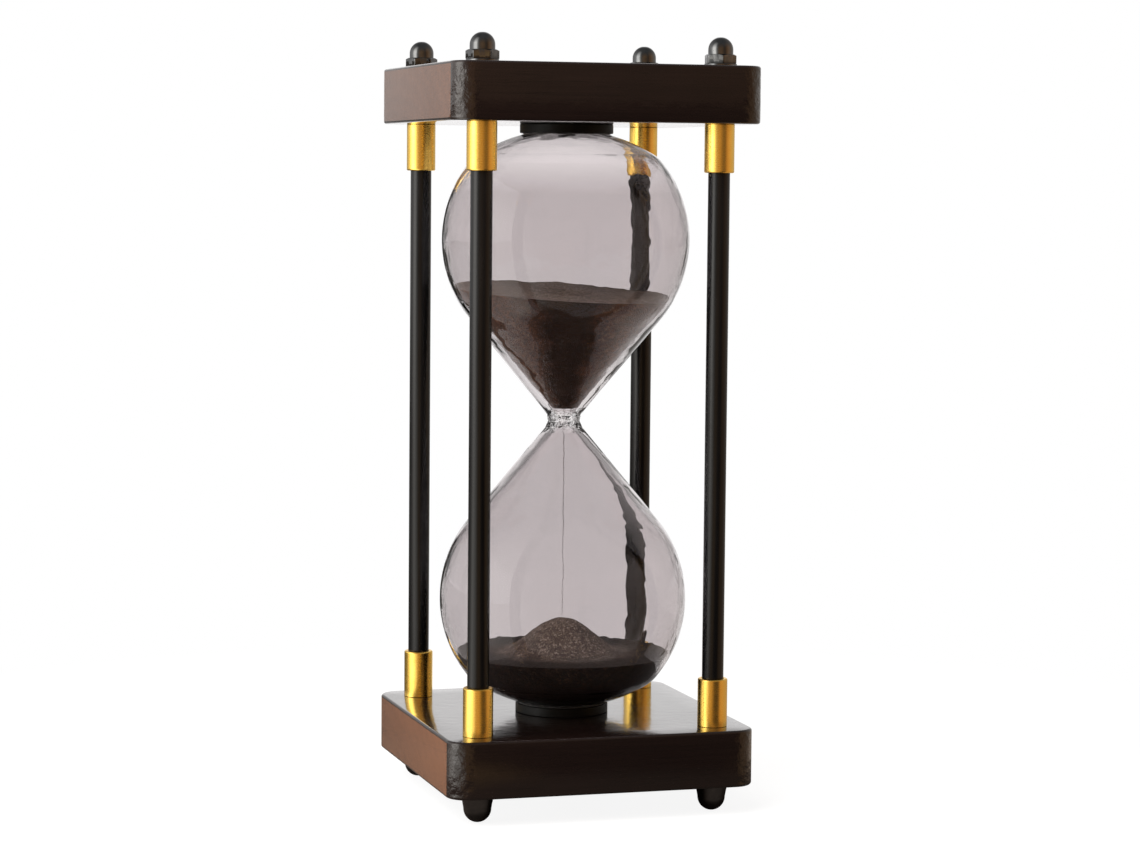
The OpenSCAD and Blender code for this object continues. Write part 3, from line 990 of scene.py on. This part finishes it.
# Brightness of the studio by bearing from straight behind the object, in degrees, right positive
BACKDROP = (0.98, 0.965, 0.965)
WALLS = (
    (-180, (0.46, 0.285, 0.165)), (-160, (0.42, 0.29, 0.20)), (-148, (0.46, 0.42, 0.37)),
    (-137, (1.40, 1.36, 1.29)), (-126, (4.30, 4.18, 3.98)), (-104, (4.30, 4.18, 3.98)),
    (-90, (1.60, 1.56, 1.50)), (-70, (0.95, 0.93, 0.91)), (-50, (0.80, 0.785, 0.775)),
    (-40, (0.41, 0.40, 0.395)), (-24, (0.40, 0.39, 0.385)), (-13, BACKDROP), (13, BACKDROP),
    (25, (0.50, 0.48, 0.465)), (48, (0.54, 0.50, 0.47)), (76, (0.62, 0.51, 0.42)),
    (100, (0.66, 0.43, 0.28)), (122, (0.46, 0.26, 0.14)), (136, (0.24, 0.15, 0.095)),
    (147, (0.20, 0.145, 0.11)), (160, (0.35, 0.22, 0.13)), (180, (0.46, 0.285, 0.165)),
)
# The same seen through the glass: pale all round, with a dark edge on each side of the backdrop
THROUGH = (
    (-180, BACKDROP), (-75, BACKDROP), (-55, (0.33, 0.32, 0.32)), (-24, (0.33, 0.32, 0.32)),
    (-14, BACKDROP), (14, BACKDROP), (24, (0.42, 0.41, 0.41)), (55, (0.42, 0.41, 0.41)),
    (75, BACKDROP), (180, BACKDROP),
)
# What the object reflects from low down, beyond the dark table under it
GROUND = (
    (-180, (0.58, 0.36, 0.17)), (-162, (0.50, 0.33, 0.19)), (-144, (1.50, 1.44, 1.33)),
    (-116, (2.60, 2.50, 2.34)), (-96, (0.90, 0.84, 0.76)), (-76, (0.20, 0.18, 0.16)),
    (-45, (0.11, 0.10, 0.09)), (-24, (0.13, 0.12, 0.11)), (-13, BACKDROP), (13, BACKDROP),
    (26, (0.40, 0.38, 0.36)), (90, (0.52, 0.37, 0.26)), (120, (0.56, 0.34, 0.18)),
    (133, (0.05, 0.038, 0.036)), (163, (0.05, 0.038, 0.036)), (174, (0.48, 0.30, 0.15)),
    (180, (0.58, 0.36, 0.17)),
)


def add_floor():
    """A pale floor to the eye and through the glass, but a dark table in reflections and for light."""
    f = Finish("pale_floor")
    coords = f.place()
    reach = f.node("ShaderNodeVectorMath", {0: coords}, operation="LENGTH").outputs["Value"]
    path = f.node("ShaderNodeLightPath")
    white = f.node("ShaderNodeEmission", {"Color": rgb(1, 1, 1), "Strength": 1.0}).outputs[0]
    pale = f.node("ShaderNodeBsdfDiffuse", {"Color": rgb(0.16, 0.16, 0.16)}).outputs[0]
    lift = f.node("ShaderNodeEmission", {"Color": rgb(1, 1, 1), "Strength": 0.90}).outputs[0]
    near = f.node("ShaderNodeAddShader", {0: pale, 1: lift}).outputs[0]
    seen = f.blend(f.ramp(reach, 0.14, 0.34), near, white)
    table = f.node("ShaderNodeBsdfDiffuse", {"Color": rgb(0.11, 0.09, 0.078)}).outputs[0]
    glow = f.node("ShaderNodeEmission", {"Color": f.panorama(coords, GROUND), "Strength": 1.0})
    other = f.blend(f.ramp(reach, 0.10, 0.14), table, glow.outputs[0])
    clear_view = f.math("MAXIMUM", path.outputs["Is Camera Ray"], path.outputs["Is Transmission Ray"])
    both = f.blend(clear_view, other, seen)
    f.tree.links.new(both, f.output.inputs["Surface"])
    bm = bmesh.new()
    bm.faces.new([bm.verts.new((x, y, -0.0002)) for x, y in ((-6, -6), (6, -6), (6, 6), (-6, 6))])
    mesh = bpy.data.meshes.new("floor")
    bm.to_mesh(mesh)
    bm.free()
    mesh.materials.append(f.material)
    floor = bpy.data.objects.new("floor", mesh)
    bpy.context.scene.collection.objects.link(floor)


def add_world():
    """White to the eye, pale through the glass, and the studio in reflections and for light."""
    world = bpy.data.worlds.new("studio")
    bpy.context.scene.world = world
    world.use_nodes = True
    world.node_tree.nodes.clear()
    w = Nodes(world.node_tree)
    direction = w.node("ShaderNodeTexCoord").outputs["Generated"]
    high = w.ramp(w.dot(direction, (0, 0, 1)), 0.25, 0.9)
    studio = w.mix(high, w.panorama(direction, WALLS), rgb(0.22, 0.22, 0.22))
    path = w.node("ShaderNodeLightPath")
    colour = w.mix(path.outputs["Is Transmission Ray"], studio, w.panorama(direction, THROUGH))
    colour = w.mix(path.outputs["Is Camera Ray"], colour, rgb(1, 1, 1))
    background = w.node("ShaderNodeBackground", {"Color": colour, "Strength": 1.0})
    output = w.node("ShaderNodeOutputWorld")
    w.tree.links.new(background.outputs["Background"], output.inputs["Surface"])


add_camera()
add_lamp()
add_floor()
add_world()

view = bpy.context.scene.view_settings
view.view_transform = "Standard"
view.look = "None"
view.exposure = 0
view.gamma = 1
